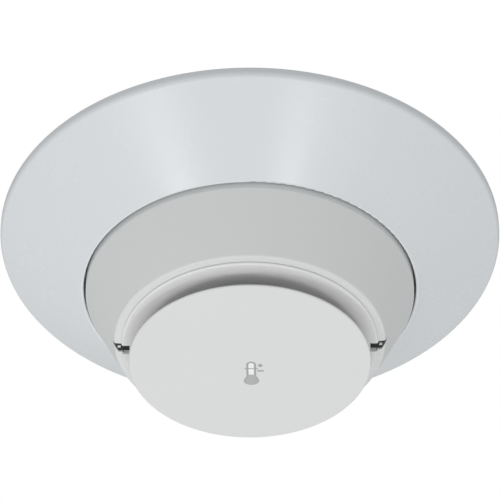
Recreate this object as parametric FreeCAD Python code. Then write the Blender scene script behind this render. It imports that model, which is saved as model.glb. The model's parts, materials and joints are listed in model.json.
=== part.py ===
import FreeCAD, Part
import math
import os

# Ceiling heat detector with a push-fit trim skirt.
# Frame: millimetres, +Z up. The origin is the centre of the base's back face, which lies on the
# ceiling (z = 0). The detector hangs below it, and its front disc faces -Z.

V = FreeCAD.Vector

# ---------------------------------------------------------------- driving dimensions
# Trim skirt: a shallow cone round the head
skirt_radius = 86.5
rim_height = 3.3
skirt_wall = 2.0
hole_radius = 57.05
hole_depth = 25.75           # how far below the ceiling the cone would meet the hole
sleeve_wall = 1.6
sleeve_top = 3.0             # the sleeve hugs the base almost up to the ceiling

# Base and head share one outer radius
body_radius = 56.3
body_wall = 1.9

# Base
plate = 2.4
base_depth = 12.2
cable_hole_radius = 16.0
bayonet_wall_in = 50.4
bayonet_wall_out = 52.2
bayonet_wall_depth = 11.4
screw_slot_half_width = 2.3
screw_centre_near = 30.15    # half of 60.3 mm, the smaller box's screw spacing
screw_centre_far = 44.45     # half of 88.9 mm, the larger box's screw spacing

# Bayonet
lug_count = 3
lug_half_angle = 8.0
twist_angle = 18.0
lug_top = 7.0
lug_bottom = 9.0
ledge_top = 9.4
ledge_bottom = 11.2
ledge_radius = 48.4
lug_radius = 50.0
lug_first_angle = 90.0

# Terminals
terminal_count = 4
terminal_first_angle = 45.0
terminal_radius = 31.0
pedestal = 4.2               # depth of the terminal pedestal's face
strip_thickness = 0.5
strip_width = 6.0
clamp_thickness = 1.0
terminal_screw_radius = 1.5

# Lock lever
lever_y = 41.0
lever_pivot_x = -13.0
lever_pivot_depth = 4.4
lever_width = 5.0
lever_nose_x = 6.5
lever_nose_half = 1.5

# Head shell and its collar
shell_top = 12.7
shell_corner_depth = 26.6
collar_radius = 45.9
collar_depth = 47.6
mouth_radius = 43.2
mouth_top = 43.5

# Sensor cap inside the collar
cap_radius = 43.0
cap_top = 40.0
flange_radius = 43.5         # a thin flange that rests on the collar's lip
flange_back = 47.98
ridge_depth = 48.9
shelf_radius = 37.0
shelf_depth = 48.6
cove_radius = 30.0
cove_depth = 45.8
cap_wall = 1.8

# Front disc
disc_radius = 41.2
face_depth = 56.3
disc_edge = 0.8
disc_thickness = 2.0
post_count = 8
post_radius = 27.0

# Side notches, each with a light guide in a shroud
notch_near_y = -1.15
notch_far_y = 3.25
notch_inner_x = 40.8
notch_near_x = 46.6          # the notch's outer wall slants from here
notch_far_x = 44.7           # to here
shroud_depth = 47.2
shroud_gap = 0.12
guide_x = 44.4
guide_y = 0.9
guide_width = 1.1
guide_depth = 47.6
led_x = 43.2
led_y = 1.1

# Rear cover
boss_radius = 47.6
boss_top = 9.8
boss_wall = 1.8
flange_top = 12.9
flange_thickness = 1.8
case_screw_radius = 1.4
case_screw_circle = 50.5
standoff_circle = 30.0

# Circuit board
board_top = 20.0
board_thickness = 1.6
board_radius = 46.4
board_face = board_top + board_thickness

# Thermistor
bead_depth = 51.0
bead_radius = 1.3
stem_radius = 2.7
lead_radius = 0.25
lead_offset = 0.8


# ---------------------------------------------------------------- helpers
def save(name, shape):
    """Write one named piece as its own STEP file."""
    shape.exportStep("parts/" + name + ".step")


def rounded_wire(corners):
    """Closed wire in the XZ plane. A corner is (r, z) or (r, z, rounding radius)."""
    count = len(corners)
    starts = []
    ends = []
    middles = []
    for i in range(count):
        here = V(corners[i][0], 0, corners[i][1])
        radius = corners[i][2] if len(corners[i]) > 2 else 0.0
        before = V(corners[i - 1][0], 0, corners[i - 1][1])
        after = V(corners[(i + 1) % count][0], 0, corners[(i + 1) % count][1])
        to_before = (before - here).normalize()
        to_after = (after - here).normalize()
        if radius == 0.0:
            starts.append(here)
            ends.append(here)
            middles.append(None)
            continue
        half = to_before.getAngle(to_after) / 2
        reach = radius / math.tan(half)
        bisector = (to_before + to_after).normalize()
        centre = here + bisector * (radius / math.sin(half))
        starts.append(here + to_before * reach)
        ends.append(here + to_after * reach)
        middles.append(centre - bisector * radius)
    edges = []
    for i in range(count):
        if middles[i] is not None:
            edges.append(Part.Arc(starts[i], middles[i], ends[i]).toShape())
        following = starts[(i + 1) % count]
        if ends[i].distanceToPoint(following) > 1e-6:
            edges.append(Part.LineSegment(ends[i], following).toShape())
    return Part.Wire(edges)


def turned(corners, start=0.0, sweep=360.0):
    """Solid of revolution about Z of a rounded section, from the angle start through sweep."""
    solid = Part.Face(rounded_wire(corners)).revolve(V(0, 0, 0), V(0, 0, 1), sweep)
    if start:
        solid.rotate(V(0, 0, 0), V(0, 0, 1), start)
    return solid


def sector(r_in, r_out, top, bottom, start, end):
    """Piece of a ring between two depths below the ceiling and two angles."""
    section = [(r_in, -top), (r_out, -top), (r_out, -bottom), (r_in, -bottom)]
    return turned(section, start, end - start)


def rod(x, y, radius, top, bottom):
    """Upright cylinder between two depths."""
    return Part.makeCylinder(radius, bottom - top, V(x, y, -bottom))


def block(x, y, length, width, top, bottom):
    """Box centred on x, y between two depths."""
    return Part.makeBox(length, width, bottom - top, V(x - length / 2, y - width / 2, -bottom))


def polar(radius, angle):
    """Point at a radius and an angle in degrees."""
    return radius * math.cos(math.radians(angle)), radius * math.sin(math.radians(angle))


def around(shape, count, first=0.0):
    """Copies of a shape made at angle zero, spread evenly round the Z axis."""
    copies = []
    for i in range(count):
        copy = shape.copy()
        copy.rotate(V(0, 0, 0), V(0, 0, 1), first + i * 360.0 / count)
        copies.append(copy)
    return copies


def fused(first, others):
    """One solid from several that touch."""
    return first.multiFuse(others).removeSplitter()


def bent_strip(path, thickness, width):
    """Flat strip bent along a path of (t, z) points in the XZ plane, width along Y."""
    count = len(path)
    normals = []
    for i in range(count - 1):
        along = V(path[i + 1][0] - path[i][0], 0, path[i + 1][1] - path[i][1]).normalize()
        normals.append(V(-along.z, 0, along.x))
    upper = []
    lower = []
    for i in range(count):
        first = normals[max(i - 1, 0)]
        second = normals[min(i, count - 2)]
        miter = (first + second).normalize()
        offset = miter * (thickness / 2 / miter.dot(first))
        here = V(path[i][0], -width / 2, path[i][1])
        upper.append(here + offset)
        lower.append(here - offset)
    outline = upper + lower[::-1]
    face = Part.Face(Part.makePolygon(outline + [outline[0]]))
    return face.extrude(V(0, width, 0))


def cross_recess(depth, size):
    """Cross-shaped driver recess that opens downwards at the given depth."""
    long_way = block(0, 0, size, size / 4, depth - size / 3, depth + 1)
    return long_way.fuse(block(0, 0, size / 4, size, depth - size / 3, depth + 1))


def prism(outline, top, bottom):
    """Straight prism under an XY outline, between two depths."""
    corners = [V(x, y, -bottom) for x, y in outline]
    return Part.Face(Part.makePolygon(corners + [corners[0]])).extrude(V(0, 0, bottom - top))


def both_sides(shape):
    """A piece made on the +X side and its mirror image on the -X side."""
    return Part.makeCompound([shape, shape.mirror(V(0, 0, 0), V(1, 0, 0))])


def notch_prism(top, bottom):
    """The +X side notch: open towards the middle, with a slanted outer wall."""
    outline = [
        (notch_inner_x, notch_near_y),
        (notch_near_x, notch_near_y),
        (notch_far_x, notch_far_y),
        (notch_inner_x, notch_far_y),
    ]
    return prism(outline, top, bottom)


# ---------------------------------------------------------------- trim skirt
def make_trim_skirt():
    slope_r = skirt_radius - hole_radius
    slope_z = hole_depth - rim_height
    slope = math.hypot(slope_r, slope_z)
    # the inner face lies one wall inside the outer face, measured square to the cone
    inner_r = skirt_radius - skirt_wall * slope_z / slope
    inner_z = -rim_height + skirt_wall * slope_r / slope

    def inner_face(radius):
        return inner_z - (inner_r - radius) * slope_z / slope_r

    rim_inside = skirt_radius - 2.2
    sleeve_out = hole_radius + sleeve_wall
    section = [
        (rim_inside, 0),
        (skirt_radius, 0, 0.8),
        (skirt_radius, -rim_height, 2.4),
        (hole_radius, -hole_depth, 0.6),
        (hole_radius, -sleeve_top, 0.5),
        (sleeve_out, -sleeve_top, 0.5),
        (sleeve_out, inner_face(sleeve_out)),
        (rim_inside, inner_face(rim_inside), 0.8),
    ]
    skirt = turned(section)

    # slits free four springy tongues of the sleeve, and a nose on each grips the base's wall
    slits = []
    noses = []
    for i in range(4):
        angle = 45.0 + i * 90.0
        for edge in (-6.5, 6.0):
            slits.append(sector(hole_radius - 1, sleeve_out + 1, 0, 12.0, angle + edge, angle + edge + 0.5))
        noses.append(sector(body_radius + 0.2, hole_radius + 0.4, 3.6, 6.6, angle - 4.0, angle + 4.0))

    # low stiffening ribs on the inside of the cone
    rib_start = sleeve_out - 0.5
    rib_end = skirt_radius - 3.0
    rib_height = 2.4
    rib_line = [
        V(rib_start, -0.6, inner_face(rib_start) - 0.5),
        V(rib_start, -0.6, inner_face(rib_start) + 2 * rib_height),
        V(rib_start + 4, -0.6, inner_face(rib_start + 4) + rib_height),
        V(rib_end - 4, -0.6, inner_face(rib_end - 4) + rib_height),
        V(rib_end, -0.6, inner_face(rib_end) + 0.4),
        V(rib_end, -0.6, inner_face(rib_end) - 0.5),
    ]
    rib = Part.Face(Part.makePolygon(rib_line + [rib_line[0]])).extrude(V(0, 1.2, 0))
    skirt = fused(skirt, around(rib, 12, 15.0))
    return fused(skirt.cut(Part.makeCompound(slits)), noses)


# ---------------------------------------------------------------- mounting base
def make_mounting_base():
    wall_in = body_radius - body_wall
    section = [
        (cable_hole_radius, 0, 0.6),
        (body_radius, 0, 1.0),
        (body_radius, -base_depth, 0.4),
        (wall_in, -base_depth, 0.4),
        (wall_in, -plate),
        (bayonet_wall_out, -plate),
        (bayonet_wall_out, -bayonet_wall_depth, 0.3),
        (bayonet_wall_in, -bayonet_wall_depth, 0.3),
        (bayonet_wall_in, -plate),
        (cable_hole_radius + 1.8, -plate),
        (cable_hole_radius + 1.8, -plate - 1.6, 0.4),
        (cable_hole_radius, -plate - 1.6, 0.4),
    ]
    base = turned(section)

    # a ledge under each lug, and a stop at each end of the lug's travel
    root = bayonet_wall_in + 0.5
    low_stop = -lug_half_angle - 2.0
    # seen from above the head turns clockwise, so the open side is at smaller angles
    ledge = sector(ledge_radius, root, ledge_top, ledge_bottom, low_stop + 1.4, -low_stop)
    closed_stop = sector(ledge_radius, root, plate - 0.5, ledge_bottom, -low_stop, -low_stop + 2.0)
    open_angle = -lug_half_angle - twist_angle - 1.4
    open_stop = sector(ledge_radius, root, plate - 0.5, ledge_bottom, open_angle - 2.0, open_angle)
    bayonets = around(fused(ledge, [closed_stop]), lug_count, lug_first_angle)
    bayonets += around(open_stop, lug_count, lug_first_angle)

    pedestals = []
    for i in range(terminal_count):
        angle = terminal_first_angle + i * 360.0 / terminal_count
        pad = block(terminal_radius, 0, 9.0, 10.0, plate - 0.5, pedestal)
        pad.rotate(V(0, 0, 0), V(0, 0, 1), angle)
        pedestals.append(pad)

    # two ears carry the lock lever's trunnions
    ears = []
    for side in (-1, 1):
        ear_y = lever_y + side * (lever_width / 2 + 1.3)
        ears.append(block(lever_pivot_x, ear_y, 4.4, 1.8, plate - 0.5, lever_pivot_depth + 2.2))
    base = fused(base, bayonets + pedestals + ears)

    # screw slots along X, one each side
    slot_length = screw_centre_far - screw_centre_near
    cutters = []
    for side in (-1, 1):
        middle = side * (screw_centre_near + screw_centre_far) / 2
        cutters.append(block(middle, 0, slot_length, 2 * screw_slot_half_width, -1, plate + 1))
        for end in (screw_centre_near, screw_centre_far):
            cutters.append(rod(side * end, 0, screw_slot_half_width, -1, plate + 1))
    # blind holes for the terminal screws
    for i in range(terminal_count):
        x, y = polar(terminal_radius, terminal_first_angle + i * 360.0 / terminal_count)
        cutters.append(rod(x, y, terminal_screw_radius + 0.05, 0.6, pedestal + 1))
    # window over the lever, so that its free end can rise
    window_length = lever_nose_x + 3.5 - lever_pivot_x
    window_x = lever_pivot_x + window_length / 2
    cutters.append(block(window_x, lever_y + 0.8, window_length, lever_width + 3.4, -1, plate + 0.1))
    # trunnion holes and the tool hole in the outer wall
    trunnion = Part.makeCylinder(1.05, 12, V(lever_pivot_x, lever_y - 6, -lever_pivot_depth), V(0, 1, 0))
    cutters.append(trunnion)
    cutters.append(block(lever_nose_x, 54, 3.2, 12, 4.0, 6.6))
    return base.cut(Part.makeCompound(cutters)).removeSplitter()


def terminal_copies(shape):
    """Copies of a piece made at the terminal on the +X axis, one per terminal."""
    return Part.makeCompound(around(shape, terminal_count, terminal_first_angle))


def make_contact_springs():
    # a flat foot under the clamp plate, then a leaf that dips towards the head's contact
    foot = -pedestal - strip_thickness / 2
    path = [(-4.0, foot), (6.0, foot), (12.0, -8.0), (14.5, -8.4), (17.0, -8.0), (18.5, -7.0)]
    strip = bent_strip(path, strip_thickness, strip_width)
    strip.rotate(V(0, 0, 0), V(0, 0, 1), 90)
    strip.translate(V(terminal_radius, 0, 0))
    hole = rod(terminal_radius, 0, terminal_screw_radius + 0.3, pedestal - 1, pedestal + 2)
    return terminal_copies(strip.cut(hole))


def make_terminal_plates():
    top = pedestal + strip_thickness
    clamp = block(terminal_radius, 0, 8.0, 7.6, top, top + clamp_thickness)
    clamp = clamp.makeFillet(0.8, [e for e in clamp.Edges if abs(e.tangentAt(e.FirstParameter).z) > 0.9])
    hole = rod(terminal_radius, 0, terminal_screw_radius + 0.3, top - 1, top + clamp_thickness + 1)
    return terminal_copies(clamp.cut(hole))


def make_terminal_screws():
    seat = pedestal + strip_thickness + clamp_thickness
    head_height = 2.2
    section = [
        (0, -0.8),
        (terminal_screw_radius, -0.8, 0.3),
        (terminal_screw_radius, -seat),
        (3.0, -seat, 0.2),
        (3.0, -seat - head_height, 0.9),
        (0, -seat - head_height),
    ]
    screw = turned(section).cut(cross_recess(seat + head_height, 3.2))
    screw.translate(V(terminal_radius, 0, 0))
    return terminal_copies(screw)


# ---------------------------------------------------------------- lock lever
def make_lock_lever():
    arm_top = 2.9
    arm_bottom = 4.3
    nose_end = lever_nose_x + lever_nose_half
    barrel = Part.makeCylinder(1.6, lever_width, V(0, 0, 0), V(0, 1, 0))
    barrel.translate(V(lever_pivot_x, lever_y - lever_width / 2, -lever_pivot_depth))
    trunnion_length = lever_width + 4.0
    trunnion = Part.makeCylinder(1.0, trunnion_length, V(0, 0, 0), V(0, 1, 0))
    trunnion.translate(V(lever_pivot_x, lever_y - trunnion_length / 2, -lever_pivot_depth))
    length = nose_end - lever_pivot_x
    arm = block(lever_pivot_x + length / 2, lever_y, length, lever_width - 0.4, arm_top, arm_bottom)
    nose = block(lever_nose_x, lever_y, 2 * lever_nose_half, 3.0, arm_top, 8.2)
    push_tab = block(lever_nose_x, lever_y + 2.6, 2 * lever_nose_half, 3.2, arm_top, 5.2)
    return fused(barrel, [trunnion, arm, nose, push_tab])


# ---------------------------------------------------------------- head shell
def make_head_shell():
    wall = 2.0
    run_r = body_radius - collar_radius
    run_z = collar_depth - shell_corner_depth
    run = math.hypot(run_r, run_z)
    # the inside of the cone, one wall in from the outside
    top_r = body_radius - wall * run_z / run
    top_z = -shell_corner_depth + wall * run_r / run
    low_r = top_r - (-mouth_top - top_z) * run_r / -run_z
    section = [
        (body_radius, -shell_top, 0.4),
        (body_radius, -shell_corner_depth, 0.9),
        (collar_radius, -collar_depth, 0.9),
        (mouth_radius, -collar_depth - 0.3, 0.25),
        (mouth_radius, -mouth_top),
        (low_r, -mouth_top),
        (top_r, top_z, 2.0),
        (top_r, -shell_top, 0.4),
    ]
    shell = turned(section)
    boss_low = 31.0
    boss = rod(case_screw_circle, 0, 3.0, flange_top + flange_thickness + 0.1, boss_low)
    web = block(case_screw_circle + 2.6, 0, 4.4, 2.0, flange_top + flange_thickness + 0.1, boss_low - 5)
    shell = fused(shell, around(fused(boss, [web]), 3, 30.0))
    holes = around(rod(case_screw_circle, 0, case_screw_radius + 0.05, shell_top, 26.0), 3, 30.0)
    notches = both_sides(notch_prism(mouth_top - 0.3, 50.0))
    return shell.cut(Part.makeCompound(holes + [notches])).removeSplitter()


# ---------------------------------------------------------------- sensor cap
def make_sensor_cap():
    under = cove_depth - cap_wall
    inside = cap_radius - cap_wall
    hole = stem_radius + 0.3
    section = [
        (hole, -under),
        (cove_radius - 0.4, -under, 3.0),
        (shelf_radius - 0.4, -shelf_depth + cap_wall, 5.0),
        (inside, -ridge_depth + cap_wall, 1.0),
        (inside, -cap_top),
        (cap_radius, -cap_top, 0.4),
        (cap_radius, -flange_back),
        (flange_radius, -flange_back, 0.15),
        (flange_radius, -ridge_depth, 0.7),
        (shelf_radius, -shelf_depth, 8.0),
        (cove_radius, -cove_depth, 3.0),
        (hole, -cove_depth),
    ]
    cap = turned(section)
    bead = sector(inside + 0.5, cap_radius + 0.9, cap_top + 0.6, mouth_top - 0.6, -9.0, 9.0)
    cap = fused(cap, around(bead, 4, 45.0))
    notches = both_sides(notch_prism(cap_top - 1, 50.5))
    return cap.cut(notches).removeSplitter()


# ---------------------------------------------------------------- front disc
def make_front_disc():
    back = face_depth - disc_thickness
    edge_back = face_depth - disc_edge
    section = [
        (0, -back),
        (disc_radius - 9.0, -back, 3.0),
        (disc_radius - 0.3, -edge_back, 0.3),
        (disc_radius, -face_depth, 0.5),
        (0, -face_depth),
    ]
    disc = turned(section)
    post = block(post_radius, 0, 3.0, 1.8, cove_depth, back + 0.5)
    upright = [e for e in post.Edges if abs(e.tangentAt(e.FirstParameter).z) > 0.9]
    post = post.makeFillet(0.6, upright)
    return fused(disc, around(post, post_count, 180.0 / post_count))


# ---------------------------------------------------------------- rear cover
def make_rear_cover():
    inner = boss_radius - boss_wall
    flange_bottom = flange_top + flange_thickness
    flange_radius = body_radius - 2.4
    ring_top = lug_top - 0.2
    plate_bottom = boss_top + 2.0
    section = [
        (0, -boss_top),
        (inner, -boss_top),
        (inner, -ring_top, 0.3),
        (boss_radius, -ring_top, 0.3),
        (boss_radius, -flange_top),
        (flange_radius, -flange_top, 0.4),
        (flange_radius, -flange_bottom, 0.4),
        (inner, -flange_bottom),
        (inner, -plate_bottom),
        (0, -plate_bottom),
    ]
    cover = turned(section)
    lug = sector(boss_radius - 0.5, lug_radius, lug_top, lug_bottom, -lug_half_angle, lug_half_angle)
    lugs = around(lug, lug_count, lug_first_angle)

    # two stops that meet the lock lever's nose at each end of the twist
    nose_angle = math.degrees(math.atan2(lever_y, lever_nose_x))
    nose_half = math.degrees((lever_nose_half + 0.6) / lever_y)
    stop_width = 3.2
    stop_in = lever_y - 1.6
    stop_out = lever_y + 1.6
    closed_edge = nose_angle - nose_half
    open_edge = nose_angle + nose_half + twist_angle
    stops = [
        sector(stop_in, stop_out, 6.6, boss_top + 0.5, closed_edge - stop_width, closed_edge),
        sector(stop_in, stop_out, 6.6, boss_top + 0.5, open_edge, open_edge + stop_width),
    ]
    standoff = rod(standoff_circle, 0, 2.6, plate_bottom - 0.5, board_top)
    cover = fused(cover, lugs + stops + around(standoff, 3, 90.0))

    holes = around(rod(standoff_circle, 0, 1.05, plate_bottom + 1, board_top + 1), 3, 90.0)
    head_drop = 1.3
    countersink_bottom = V(case_screw_circle, 0, -flange_top - head_drop)
    countersink = Part.makeCone(case_screw_radius + 0.1, 2.9, head_drop, countersink_bottom)
    clear_hole = rod(case_screw_circle, 0, case_screw_radius + 0.2, flange_top - 1, flange_bottom + 1)
    case_hole = fused(clear_hole, [countersink])
    holes += around(case_hole, 3, 30.0)
    for x, y in blade_pins():
        holes.append(rod(x, y, 0.8, boss_top - 1, plate_bottom + 1))
    return cover.cut(Part.makeCompound(holes)).removeSplitter()


def blade_angle():
    """Angle from a terminal to the middle of its leaf's dip."""
    return math.degrees(math.atan2(14.5, terminal_radius))


def blade_pins():
    """Where the contact blades' pins pass through the rear cover."""
    radius = math.hypot(14.5, terminal_radius)
    spots = []
    for i in range(terminal_count):
        angle = terminal_first_angle + blade_angle() + i * 360.0 / terminal_count
        spots.append(polar(radius, angle))
    return spots


def make_contact_blades():
    # an arc strip that the leaf slides along while the head turns
    radius = math.hypot(14.5, terminal_radius)
    top = boss_top - 0.6
    strip = sector(radius - 2.5, radius + 2.5, top, boss_top, -6.0, twist_angle + 6.0)
    pin = rod(radius, 0, 0.6, boss_top - 0.3, board_top)
    first = terminal_first_angle + blade_angle()
    return Part.makeCompound(around(fused(strip, [pin]), terminal_count, first))


def make_case_screws():
    head_drop = 1.3
    top = -flange_top
    section = [
        (0, top),
        (2.7, top),
        (case_screw_radius, top - head_drop),
        (case_screw_radius, -24.0),
        (0, -25.2),
    ]
    screw = turned(section)
    recess = block(0, 0, 3.0, 0.8, flange_top - 1, flange_top + 0.9)
    screw = screw.cut(recess.fuse(block(0, 0, 0.8, 3.0, flange_top - 1, flange_top + 0.9)))
    screw.translate(V(case_screw_circle, 0, 0))
    return Part.makeCompound(around(screw, 3, 30.0))


def make_rating_label():
    return rod(0, 0, 24.0, boss_top - 0.2, boss_top)


# ---------------------------------------------------------------- electronics
def make_circuit_board():
    board = rod(0, 0, board_radius, board_top, board_face)
    holes = around(rod(standoff_circle, 0, 1.3, board_top - 1, board_face + 1), 3, 90.0)
    for side in (-1, 1):
        holes.append(rod(side * lead_offset, 0, 0.4, board_top - 1, board_face + 1))
    return board.cut(Part.makeCompound(holes))


def make_board_screws():
    section = [
        (0, -15.0),
        (1.0, -15.0),
        (1.0, -board_face),
        (2.3, -board_face),
        (2.3, -board_face - 1.6, 0.6),
        (0, -board_face - 1.6),
    ]
    screw = turned(section).cut(cross_recess(board_face + 1.6, 2.2))
    screw.translate(V(standoff_circle, 0, 0))
    return Part.makeCompound(around(screw, 3, 90.0))


def make_control_chip():
    centre_x = 18.0
    centre_y = -10.0
    size = 9.0
    body = block(centre_x, centre_y, size, size, board_face + 0.1, board_face + 1.5)
    leads = []
    per_side = 8
    for i in range(per_side):
        along = (i - (per_side - 1) / 2) * 1.0
        leads.append(block(centre_x + along, centre_y, 0.4, size + 2.4, board_face, board_face + 0.4))
        leads.append(block(centre_x, centre_y + along, size + 2.4, 0.4, board_face, board_face + 0.4))
    return fused(body, leads)


def make_capacitors():
    cans = []
    for x, y, radius, height in ((-20.0, -12.0, 4.0, 10.0), (-11.0, -20.0, 3.2, 8.0)):
        section = [
            (0, -board_face),
            (radius, -board_face, 0.3),
            (radius, -board_face - height, 0.6),
            (0, -board_face - height),
        ]
        can = turned(section)
        can.translate(V(x, y, 0))
        cans.append(can)
    return Part.makeCompound(cans)


def make_surge_diodes():
    diodes = []
    for i in range(4):
        diodes.append(block(-24.0 + i * 5.0, 16.0, 2.6, 4.4, board_face, board_face + 2.2))
    return Part.makeCompound(diodes)


def make_chip_resistors():
    chips = []
    for row in range(3):
        for column in range(5):
            chips.append(block(8.0 + column * 3.2, 12.0 + row * 4.0, 1.6, 0.8, board_face, board_face + 0.5))
    return Part.makeCompound(chips)


def make_status_leds():
    led = block(led_x, led_y, 2.2, 1.9, board_face, board_face + 0.8)
    lens = rod(led_x, led_y, 0.8, board_face + 0.7, board_face + 1.3)
    return both_sides(fused(led, [lens]))


def make_light_guides():
    foot_top = board_face + 1.6
    bar = block(guide_x, guide_y, guide_width, guide_width, foot_top, guide_depth)
    rounding = [e for e in bar.Edges if e.CenterOfMass.z < -guide_depth + 0.01]
    bar = bar.makeFillet(0.25, rounding)
    foot = block(led_x, led_y, 2.2, 2.4, foot_top, foot_top + 2.0)
    return both_sides(fused(bar, [foot]))


def make_guide_shrouds():
    """Dark tubes that stand on the board round each LED and reach into the side notches."""
    column = [
        (notch_inner_x + 0.3, notch_near_y + shroud_gap),
        (45.4, notch_near_y + shroud_gap),
        (44.5, notch_far_y - shroud_gap),
        (notch_inner_x + 0.3, notch_far_y - shroud_gap),
    ]
    shroud = prism(column, board_face, mouth_top)
    head = [column[0], (45.7, column[1][1]), (44.55, column[2][1]), column[3]]
    shroud = fused(shroud, [prism(head, mouth_top, shroud_depth)])
    chamber = block(led_x, led_y, 2.7, 2.9, board_face - 1, board_face + 4.0)
    bore = block(guide_x, guide_y, guide_width + 0.16, guide_width + 0.16, board_face, 50.0)
    return both_sides(shroud.cut(Part.makeCompound([chamber, bore])).removeSplitter())


# ---------------------------------------------------------------- heat sensor
def make_thermistor_bead():
    bead = Part.makeSphere(bead_radius, V(0, 0, -bead_depth))
    neck = Part.makeCone(1.2, 1.1, 1.6, V(0, 0, -bead_depth + 0.4))
    return bead.fuse(neck).removeSplitter()


def make_thermistor_leads():
    wires = []
    for side in (-1, 1):
        wires.append(rod(side * lead_offset, 0, lead_radius, board_top - 0.8, bead_depth - 2.0))
    return Part.makeCompound(wires)


def make_thermistor_holder():
    end = bead_depth - 2.6
    section = [
        (0, -board_face),
        (6.0, -board_face, 0.3),
        (6.0, -board_face - 1.8, 0.5),
        (stem_radius, -board_face - 4.5, 1.5),
        (stem_radius, -end + 3.0),
        (1.9, -end, 0.4),
        (0, -end),
    ]
    stem = turned(section)
    bores = []
    for side in (-1, 1):
        bores.append(rod(side * lead_offset, 0, lead_radius + 0.1, board_top, bead_depth))
    return stem.cut(Part.makeCompound(bores))


# ---------------------------------------------------------------- write every piece
save("trim_skirt", make_trim_skirt())
save("mounting_base", make_mounting_base())
save("contact_springs", make_contact_springs())
save("terminal_plates", make_terminal_plates())
save("terminal_screws", make_terminal_screws())
save("lock_lever", make_lock_lever())
save("head_shell", make_head_shell())
save("sensor_cap", make_sensor_cap())
save("front_disc", make_front_disc())
save("rear_cover", make_rear_cover())
save("contact_blades", make_contact_blades())
save("case_screws", make_case_screws())
save("rating_label", make_rating_label())
save("circuit_board", make_circuit_board())
save("board_screws", make_board_screws())
save("control_chip", make_control_chip())
save("capacitors", make_capacitors())
save("surge_diodes", make_surge_diodes())
save("chip_resistors", make_chip_resistors())
save("status_leds", make_status_leds())
save("light_guides", make_light_guides())
save("guide_shrouds", make_guide_shrouds())
save("thermistor_bead", make_thermistor_bead())
save("thermistor_leads", make_thermistor_leads())
save("thermistor_holder", make_thermistor_holder())
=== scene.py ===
"""Looks of the ceiling heat detector: finished meshes, materials, lights and camera, in metres."""
import json
import math

import bmesh
import bpy
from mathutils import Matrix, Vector


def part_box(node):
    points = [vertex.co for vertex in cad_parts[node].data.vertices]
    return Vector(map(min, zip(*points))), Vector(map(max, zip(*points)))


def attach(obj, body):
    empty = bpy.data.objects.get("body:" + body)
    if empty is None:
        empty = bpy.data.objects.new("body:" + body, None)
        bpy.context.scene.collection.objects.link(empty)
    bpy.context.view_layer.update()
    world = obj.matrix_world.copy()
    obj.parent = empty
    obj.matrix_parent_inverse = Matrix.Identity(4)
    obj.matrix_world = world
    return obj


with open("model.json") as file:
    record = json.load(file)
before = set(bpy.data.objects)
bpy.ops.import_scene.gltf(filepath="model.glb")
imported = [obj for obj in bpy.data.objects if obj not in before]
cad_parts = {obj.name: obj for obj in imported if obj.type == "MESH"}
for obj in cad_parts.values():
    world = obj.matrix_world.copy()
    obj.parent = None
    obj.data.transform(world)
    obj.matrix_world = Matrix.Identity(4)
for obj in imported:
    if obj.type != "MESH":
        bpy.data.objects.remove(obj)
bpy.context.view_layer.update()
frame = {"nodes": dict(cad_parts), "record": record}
nodes = frame["nodes"]
scene = bpy.context.scene

MM = 0.001

# ------------------------------------------------------------------ sizes read from the frame
skirt_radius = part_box("trim_skirt")[1].x
face_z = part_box("front_disc")[0].z


# ------------------------------------------------------------------ camera
CAMERA_ELEVATION = math.radians(40.5)      # below the ceiling plane
CAMERA_DISTANCE = 15.0 * skirt_radius
CAMERA_AZIMUTH = math.radians(0.9)         # a little to the right of the near side
AIM_DEPTH = 0.066 * skirt_radius           # the camera aims at a point just under the ceiling
AIM_SIDE = 0.04 * MM
LENS_MM = 269.6
SENSOR_MM = 36.0


def make_camera():
    """Long lens from below and in front."""
    data = bpy.data.cameras.new("camera")
    data.sensor_width = SENSOR_MM
    data.lens = LENS_MM
    data.clip_start = 0.05
    data.clip_end = 50.0
    camera = bpy.data.objects.new("camera", data)
    scene.collection.objects.link(camera)
    aim = Vector((AIM_SIDE, 0, -AIM_DEPTH))
    level = math.cos(CAMERA_ELEVATION)
    back = Vector((
        level * math.sin(CAMERA_AZIMUTH),
        -level * math.cos(CAMERA_AZIMUTH),
        -math.sin(CAMERA_ELEVATION),
    ))
    camera.location = aim + back * CAMERA_DISTANCE
    camera.rotation_euler = (-back).to_track_quat("-Z", "Y").to_euler()
    scene.camera = camera


# ------------------------------------------------------------------ materials
def new_material(name):
    """A material with its node tree and its main shader."""
    material = bpy.data.materials.new(name)
    material.use_nodes = True
    tree = material.node_tree
    shader = tree.nodes["Principled BSDF"]
    return material, tree, shader


def object_coordinates(tree):
    """Object-space coordinates, in metres."""
    return tree.nodes.new("ShaderNodeTexCoord").outputs["Object"]


def noise(tree, vector, size_mm, detail=3.0, roughness=0.5):
    """Noise whose features are about size_mm across."""
    node = tree.nodes.new("ShaderNodeTexNoise")
    node.inputs["Scale"].default_value = 1.0 / (size_mm * MM)
    node.inputs["Detail"].default_value = detail
    node.inputs["Roughness"].default_value = roughness
    tree.links.new(vector, node.inputs["Vector"])
    return node.outputs["Fac"]


def mapped(tree, value, low, high, from_low=0.3, from_high=0.7):
    """Value moved from one range to another. Noise mostly lies between 0.3 and 0.7."""
    node = tree.nodes.new("ShaderNodeMapRange")
    node.inputs["From Min"].default_value = from_low
    node.inputs["From Max"].default_value = from_high
    node.inputs["To Min"].default_value = low
    node.inputs["To Max"].default_value = high
    tree.links.new(value, node.inputs["Value"])
    return node.outputs["Result"]


def blended(tree, factor, first, second):
    """Colour that runs from first to second. Each is a colour or the output of another blend."""
    node = tree.nodes.new("ShaderNodeMix")
    node.data_type = "RGBA"
    for socket, colour in (("A", first), ("B", second)):
        if isinstance(colour, tuple):
            node.inputs[socket].default_value = (*colour, 1)
        else:
            tree.links.new(colour, node.inputs[socket])
    tree.links.new(factor, node.inputs["Factor"])
    return node.outputs["Result"]


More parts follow.
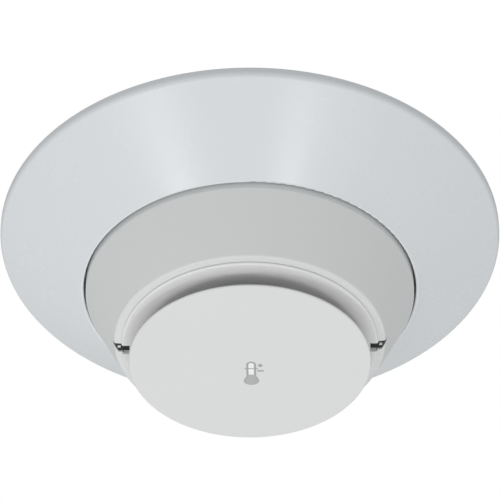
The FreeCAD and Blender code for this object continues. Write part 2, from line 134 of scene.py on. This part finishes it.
def stretched(tree, vector, scale):
    """Coordinates scaled by axis, so that a pattern runs in long streaks."""
    node = tree.nodes.new("ShaderNodeMapping")
    node.inputs["Scale"].default_value = scale
    tree.links.new(vector, node.inputs["Vector"])
    return node.outputs["Vector"]


def bumped(tree, shader, height, strength, depth_mm):
    """Gives the shader a relief that is depth_mm deep."""
    node = tree.nodes.new("ShaderNodeBump")
    node.inputs["Strength"].default_value = strength
    node.inputs["Distance"].default_value = depth_mm * MM
    tree.links.new(height, node.inputs["Height"])
    tree.links.new(node.outputs["Normal"], shader.inputs["Normal"])


def reckoned(tree, value, operation, number):
    """One step of arithmetic on a value, such as a comparison or a repeat."""
    node = tree.nodes.new("ShaderNodeMath")
    node.operation = operation
    tree.links.new(value, node.inputs[0])
    node.inputs[1].default_value = number
    return node.outputs[0]


FLOW_MM = 28.0       # size of the cloudy patches where the plastic flowed
DUST_MM = 0.9


def moulded_plastic(name, colour, roughness=0.45, grain_mm=0.5, grain=0.08, mottle=0.02, dust=0.0):
    """Injection-moulded plastic: spark-eroded grain, flow mottling, uneven gloss, faint dust."""
    material, tree, shader = new_material(name)
    place = object_coordinates(tree)
    flow = noise(tree, place, FLOW_MM, 4.0)
    dark = tuple(c * (1 - mottle) for c in colour)
    light = tuple(min(c * (1 + mottle), 1.0) for c in colour)
    tint = blended(tree, flow, dark, light)
    specks = mapped(tree, noise(tree, place, DUST_MM, 2.0), 0.0, dust, 0.62, 0.72)
    tint = blended(tree, specks, tint, tuple(c * 0.8 for c in colour))
    tree.links.new(tint, shader.inputs["Base Color"])
    tree.links.new(mapped(tree, flow, roughness * 0.92, roughness * 1.08), shader.inputs["Roughness"])
    fine = noise(tree, place, grain_mm, 3.0)
    bumped(tree, shader, fine, grain, grain_mm * 0.2)
    return material


def worked_metal(name, colour, roughness, stretch, scratch_mm=0.25, stain=0.12):
    """Drawn or rolled metal: long fine streaks, and a slow tarnish that dulls it in patches."""
    material, tree, shader = new_material(name)
    place = object_coordinates(tree)
    streaks = noise(tree, stretched(tree, place, stretch), scratch_mm, 4.0, 0.6)
    patches = noise(tree, place, 6.0, 5.0)
    dull = tuple(c * (1 - stain) for c in colour)
    tint = blended(tree, patches, colour, dull)
    tree.links.new(tint, shader.inputs["Base Color"])
    tree.links.new(mapped(tree, streaks, roughness * 0.75, roughness * 1.3), shader.inputs["Roughness"])
    bumped(tree, shader, streaks, 0.12, 0.03)
    shader.inputs["Metallic"].default_value = 1.0
    return material


TRACK_MM = 6.0
VIA_PITCH_MM = 5.0


def board_laminate(name):
    """Green solder mask over copper tracks, with tinned vias."""
    material, tree, shader = new_material(name)
    place = object_coordinates(tree)
    tracks = tree.nodes.new("ShaderNodeTexBrick")
    tracks.inputs["Scale"].default_value = 1.0 / (TRACK_MM * MM)
    tracks.inputs["Mortar Size"].default_value = 0.035
    tracks.inputs["Color1"].default_value = (0.012, 0.10, 0.045, 1)
    tracks.inputs["Color2"].default_value = (0.018, 0.13, 0.06, 1)
    tracks.inputs["Mortar"].default_value = (0.05, 0.26, 0.11, 1)
    tree.links.new(place, tracks.inputs["Vector"])
    cells = tree.nodes.new("ShaderNodeTexVoronoi")
    cells.inputs["Scale"].default_value = 1.0 / (VIA_PITCH_MM * MM)
    tree.links.new(place, cells.inputs["Vector"])
    via = reckoned(tree, cells.outputs["Distance"], "LESS_THAN", 0.09)
    tint = blended(tree, via, tracks.outputs["Color"], (0.62, 0.60, 0.55))
    tree.links.new(tint, shader.inputs["Base Color"])
    weave = noise(tree, place, 0.6, 2.0)
    tree.links.new(mapped(tree, weave, 0.28, 0.42), shader.inputs["Roughness"])
    bumped(tree, shader, tracks.outputs["Fac"], 0.3, 0.04)
    return material


def capacitor_skin(name):
    """Dark shrink sleeve with a pale stripe, and a bare aluminium top."""
    material, tree, shader = new_material(name)
    coordinates = tree.nodes.new("ShaderNodeTexCoord")
    place = coordinates.outputs["Object"]
    facing = tree.nodes.new("ShaderNodeSeparateXYZ")
    tree.links.new(coordinates.outputs["Normal"], facing.inputs["Vector"])
    top = reckoned(tree, facing.outputs["Z"], "LESS_THAN", -0.6)
    stripe = reckoned(tree, facing.outputs["X"], "GREATER_THAN", 0.86)
    wear = noise(tree, place, 1.5, 4.0)
    sleeve = blended(tree, wear, (0.02, 0.03, 0.08), (0.035, 0.05, 0.12))
    sleeve = blended(tree, stripe, sleeve, (0.55, 0.57, 0.6))
    tint = blended(tree, top, sleeve, (0.78, 0.78, 0.79))
    tree.links.new(tint, shader.inputs["Base Color"])
    tree.links.new(top, shader.inputs["Metallic"])
    tree.links.new(mapped(tree, wear, 0.25, 0.4), shader.inputs["Roughness"])
    bumped(tree, shader, noise(tree, place, 0.3), 0.1, 0.02)
    return material


def chip_resistor_skin(name, first_x_mm, pitch_mm, end_mm):
    """Black glazed bodies with tinned ends, repeated along X."""
    material, tree, shader = new_material(name)
    place = object_coordinates(tree)
    axes = tree.nodes.new("ShaderNodeSeparateXYZ")
    tree.links.new(place, axes.inputs["Vector"])
    shifted = reckoned(tree, axes.outputs["X"], "SUBTRACT", first_x_mm * MM)
    wave = reckoned(tree, shifted, "PINGPONG", pitch_mm * MM / 2)
    tinned = reckoned(tree, wave, "GREATER_THAN", end_mm * MM)
    wear = noise(tree, place, 0.4, 3.0)
    body = blended(tree, wear, (0.02, 0.02, 0.022), (0.05, 0.05, 0.055))
    tint = blended(tree, tinned, body, (0.72, 0.71, 0.68))
    tree.links.new(tint, shader.inputs["Base Color"])
    tree.links.new(tinned, shader.inputs["Metallic"])
    tree.links.new(mapped(tree, wear, 0.2, 0.38), shader.inputs["Roughness"])
    bumped(tree, shader, wear, 0.1, 0.02)
    return material


def light_guide_plastic(name):
    """Frosted milky acrylic, partly clear. Its near-white colour is also a painted highlight on the
    guide's tip.
    """
    material, tree, shader = new_material(name)
    place = object_coordinates(tree)
    frost = noise(tree, place, 0.4, 3.0)
    # near-white frost: the acrylic's milky colour, pushed up to paint the highlight on the guide's tip
    tint = blended(tree, frost, (0.93, 0.95, 0.96), (0.98, 0.99, 1.0))
    tree.links.new(tint, shader.inputs["Base Color"])
    tree.links.new(mapped(tree, frost, 0.12, 0.25), shader.inputs["Roughness"])
    bumped(tree, shader, frost, 0.08, 0.02)
    shader.inputs["Transmission Weight"].default_value = 0.25
    shader.inputs["IOR"].default_value = 1.49
    return material


def led_resin(name, lens_z_mm):
    """White package with a warm phosphor lens in its middle."""
    material, tree, shader = new_material(name)
    place = object_coordinates(tree)
    axes = tree.nodes.new("ShaderNodeSeparateXYZ")
    tree.links.new(place, axes.inputs["Vector"])
    lens = reckoned(tree, axes.outputs["Z"], "LESS_THAN", lens_z_mm * MM)
    grains = noise(tree, place, 0.25, 2.0)
    package = blended(tree, grains, (0.80, 0.80, 0.77), (0.86, 0.86, 0.84))
    tint = blended(tree, lens, package, (0.85, 0.62, 0.18))
    tree.links.new(tint, shader.inputs["Base Color"])
    tree.links.new(mapped(tree, grains, 0.2, 0.35), shader.inputs["Roughness"])
    bumped(tree, shader, grains, 0.1, 0.02)
    return material


# Plastics: colour, roughness, then the grain's size in mm and its strength, mottling, dust.
# Metals: colour, roughness, stretch of the streaks by axis, then their width in mm and the stain.
SLOT_LOOKS = {
    "skirt_plastic": moulded_plastic("skirt_white", (0.795, 0.82, 0.833), 0.27, 0.45, 0.07, 0.012, 0.05),
    "shell_plastic": moulded_plastic("shell_white", (0.79, 0.797, 0.793), 0.46, 0.4, 0.10, 0.014, 0.06),
    "cap_plastic": moulded_plastic("cap_white", (0.89, 0.89, 0.878), 0.44, 0.35, 0.09, 0.014, 0.06),
    "disc_plastic": moulded_plastic("disc_white", (0.762, 0.76, 0.758), 0.55, 0.3, 0.14, 0.008, 0.05),
    "base_plastic": moulded_plastic("base_white", (0.78, 0.78, 0.755), 0.5, 0.5, 0.12, 0.02, 0.10),
    "lever_plastic": moulded_plastic("lever_grey", (0.62, 0.63, 0.62), 0.42, 0.4, 0.10, 0.02, 0.08),
    "cover_plastic": moulded_plastic("cover_white", (0.76, 0.76, 0.735), 0.5, 0.45, 0.12, 0.02, 0.08),
    # The light-guide shrouds are black plastic; their black also stands in for painted shade deep in the
    # LED slots.
    "shroud_plastic": moulded_plastic("shroud_black_slot_shade", (0.012, 0.012, 0.013), 0.5, 0.3, 0.12, 0.10, 0.15),
    "chip_resin": moulded_plastic("chip_black", (0.022, 0.022, 0.024), 0.55, 0.15, 0.25, 0.10, 0.20),
    "sensor_epoxy": moulded_plastic("bead_epoxy", (0.03, 0.03, 0.034), 0.18, 0.8, 0.10, 0.15, 0.10),
    "label_film": moulded_plastic("label_silver", (0.62, 0.63, 0.64), 0.3, 0.25, 0.05, 0.03, 0.10),
    "spring_bronze": worked_metal("spring_bronze", (0.78, 0.55, 0.32), 0.28, (1, 6, 1)),
    "contact_metal": worked_metal("contact_brass", (0.83, 0.69, 0.42), 0.24, (1, 1, 8)),
    "plated_steel": worked_metal("plated_steel", (0.72, 0.73, 0.75), 0.30, (1, 5, 1), 0.4, 0.18),
    "lead_wire": worked_metal("tinned_wire", (0.78, 0.77, 0.74), 0.30, (1, 1, 5), 0.2, 0.2),
    "capacitor_can": capacitor_skin("capacitor_skin"),
    "resistor_ceramic": chip_resistor_skin("resistor_skin", first_x_mm=8.0, pitch_mm=3.2, end_mm=0.48),
    "board_laminate": board_laminate("board_green"),
    # the light guides' near-white colour also paints the highlight on their tips
    "clear_acrylic": light_guide_plastic("light_guide_white_highlight"),
    "led_resin": led_resin("led_resin", lens_z_mm=-22.45),
}


def paint_all():
    """Gives every CAD node the look of its slot in the record."""
    for row in frame["record"]["subparts"]:
        mesh = nodes[row["node"]].data
        mesh.materials.clear()
        mesh.materials.append(SLOT_LOOKS[row["material_slot"]])


# ------------------------------------------------------------------ the printed symbol
FILM = 0.02          # thickness of the ink, mm
FACE = face_z / MM


def film(name, outlines, material, lift=0.0):
    """Thin flat print on the disc's face, from closed XY outlines in mm."""
    mesh = bpy.data.meshes.new(name)
    shape = bmesh.new()
    for outline in outlines:
        corners = [shape.verts.new((x * MM, y * MM, (FACE - lift) * MM)) for x, y in outline]
        shape.faces.new(corners)
    lower = bmesh.ops.extrude_face_region(shape, geom=shape.faces[:])
    moved = [v for v in lower["geom"] if isinstance(v, bmesh.types.BMVert)]
    bmesh.ops.translate(shape, verts=moved, vec=(0, 0, -FILM * MM))
    bmesh.ops.recalc_face_normals(shape, faces=shape.faces[:])
    shape.to_mesh(mesh)
    shape.free()
    mesh.materials.append(material)
    piece = bpy.data.objects.new(name, mesh)
    scene.collection.objects.link(piece)
    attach(piece, "head")


def arc(x, y, radius, start, end, count):
    """Points of an arc, with angles in degrees."""
    step = (end - start) / count
    angles = [math.radians(start + i * step) for i in range(count + 1)]
    return [(x + radius * math.cos(a), y + radius * math.sin(a)) for a in angles]


def band(outer, inner):
    """Quads between two open lines of as many points."""
    return [
        [outer[i], outer[i + 1], inner[i + 1], inner[i]]
        for i in range(len(outer) - 1)
    ]


def bulb_side(neck, waist, neck_y, waist_y, end_y, count=8):
    """Half of the bulb's outline: it flares from the neck to the waist, then closes as an ellipse."""
    side = []
    for i in range(count):
        along = i / count
        flare = math.sin(math.pi / 2 * along) ** 2
        side.append((neck + (waist - neck) * flare, neck_y + (waist_y - neck_y) * along))
    for i in range(count + 1):
        turn = math.pi / 2 * i / count
        side.append((waist * math.cos(turn), waist_y + (end_y - waist_y) * math.sin(turn)))
    return side


def thermometer():
    """A generic thermometer: tube, bulb, one graduation, a dot and a dash. Sizes are in mm."""
    ink_dark = moulded_plastic("ink_dark", (0.40, 0.40, 0.40), 0.6, 0.12, 0.2, 0.06, 0.3)
    ink_grey = moulded_plastic("ink_grey", (0.47, 0.47, 0.47), 0.6, 0.12, 0.2, 0.04, 0.3)
    tube_inside_pale = moulded_plastic("tube_inside_pale", (0.93, 0.93, 0.93), 0.4, 0.12, 0.1, 0.01, 0.1)

    # the tube: two straight sides and a round top
    x = 0.4
    half = 1.65
    line = 0.72
    inner_half = half - line
    top = half - 1.2               # middle of the round top
    tube_end = 6.1
    bow = arc(x, top, half, 0, -180, 24)
    inner_bow = arc(x, top, inner_half, 0, -180, 24)
    outer = [(x + half, tube_end)] + bow + [(x - half, tube_end)]
    inner = [(x + inner_half, tube_end)] + inner_bow + [(x - inner_half, tube_end)]
    film("symbol_tube", band(outer, inner), ink_dark)

    # the bulb: a dark rim round a grey middle
    bulb_width = 2.62
    bulb_top = 5.9
    bulb_waist = 9.2
    bulb_end = 11.3
    middle_y = 8.8
    shrink = 0.84
    side = bulb_side(half - 0.1, bulb_width, bulb_top, bulb_waist, bulb_end)
    rim_out = [(x + reach, y) for reach, y in side]
    rim_out += [(x - reach, y) for reach, y in reversed(side[:-1])]
    rim_in = [(x + (px - x) * shrink, middle_y + (py - middle_y) * shrink) for px, py in rim_out]
    film("symbol_bulb_rim", band(rim_out, rim_in), ink_dark)
    level = 5.8
    level_half = half - 0.2
    fill = [(x + level_half, level)] + rim_in + [(x - level_half, level)]
    film("symbol_bulb", [fill], ink_grey, FILM)
    # a pale film fills the tube above the bulb, lighter than the disc's face
    inside = [(x + inner_half, level)] + inner_bow + [(x - inner_half, level)]
    film("symbol_inside", [inside], tube_inside_pale)

    # one graduation across the tube
    left = x - 2.25
    right = x + 2.25
    near = 2.3
    far = 2.75
    film("symbol_mark", [[(left, near), (right, near), (right, far), (left, far)]], ink_dark, FILM)

    # a dot, and a dash with round ends, beside the tube
    beside = 3.5
    dash_y = 3.8
    dash_half = 0.8
    dash_width = 0.38
    film("symbol_dot", [arc(beside, 0.9, 0.78, 0, 345, 23)], ink_dark)
    dash = arc(beside + dash_half, dash_y, dash_width, -90, 90, 10)
    dash += arc(beside - dash_half, dash_y, dash_width, 90, 270, 10)
    film("symbol_dash", [dash], ink_dark)


# ------------------------------------------------------------------ lights and floor
FILL_LIGHT = 0.49
LIGHT_AIM_Z = -0.03
FLOOR_Z = -2.6                 # an ordinary room's height below the ceiling
FLOOR_SIZE = 22.0


def area_light(name, direction, distance, size, power):
    """Soft square light that looks at the detector from a direction."""
    data = bpy.data.lights.new(name, "AREA")
    data.shape = "RECTANGLE"
    data.size = size
    data.size_y = size
    data.energy = power
    light = bpy.data.objects.new(name, data)
    scene.collection.objects.link(light)
    way = Vector(direction).normalized()
    light.location = Vector((0, 0, LIGHT_AIM_Z)) + way * distance
    light.rotation_euler = way.to_track_quat("Z", "Y").to_euler()
    light.visible_camera = False


def make_world():
    """White backdrop, and a dimmer even fill for everything that isn't the backdrop."""
    world = bpy.data.worlds.new("studio")
    scene.world = world
    world.use_nodes = True
    tree = world.node_tree
    backdrop = tree.nodes["Background"]
    backdrop.inputs["Color"].default_value = (1, 1, 1, 1)
    fill = tree.nodes.new("ShaderNodeBackground")
    fill.inputs["Color"].default_value = (0.97, 0.99, 1.0, 1)
    fill.inputs["Strength"].default_value = FILL_LIGHT
    path = tree.nodes.new("ShaderNodeLightPath")
    choose = tree.nodes.new("ShaderNodeMixShader")
    tree.links.new(path.outputs["Is Camera Ray"], choose.inputs[0])
    tree.links.new(fill.outputs[0], choose.inputs[1])
    tree.links.new(backdrop.outputs[0], choose.inputs[2])
    tree.links.new(choose.outputs[0], tree.nodes["World Output"].inputs["Surface"])


def make_lights():
    """A broad softbox below, a weak light on the far side, and two narrow ones for the skirt's streaks."""
    below = (-0.12, -0.02, -1.0)
    far_side = (0.0, 1.0, -0.35)
    near_left = (-0.443, -0.285, -0.852)
    near_right = (0.262, -0.374, -0.890)
    area_light("softbox_below", below, distance=1.15, size=2.2, power=9.6)
    area_light("far_side", far_side, distance=1.6, size=1.2, power=1.5)
    area_light("streak_left", near_left, distance=1.2, size=0.20, power=1.25)
    area_light("streak_right", near_right, distance=1.2, size=0.12, power=1.0)


def make_floor():
    """Plain pale floor of the room under the detector."""
    mesh = bpy.data.meshes.new("floor")
    shape = bmesh.new()
    bmesh.ops.create_grid(shape, x_segments=8, y_segments=8, size=FLOOR_SIZE)
    shape.to_mesh(mesh)
    shape.free()
    mesh.materials.append(moulded_plastic("floor_paint", (0.86, 0.86, 0.86), 0.8, 6.0, 0.02, 0.01))
    floor = bpy.data.objects.new("floor", mesh)
    floor.location.z = FLOOR_Z
    scene.collection.objects.link(floor)


make_camera()
paint_all()
thermometer()
make_world()
make_lights()
make_floor()
scene.view_settings.view_transform = "Standard"
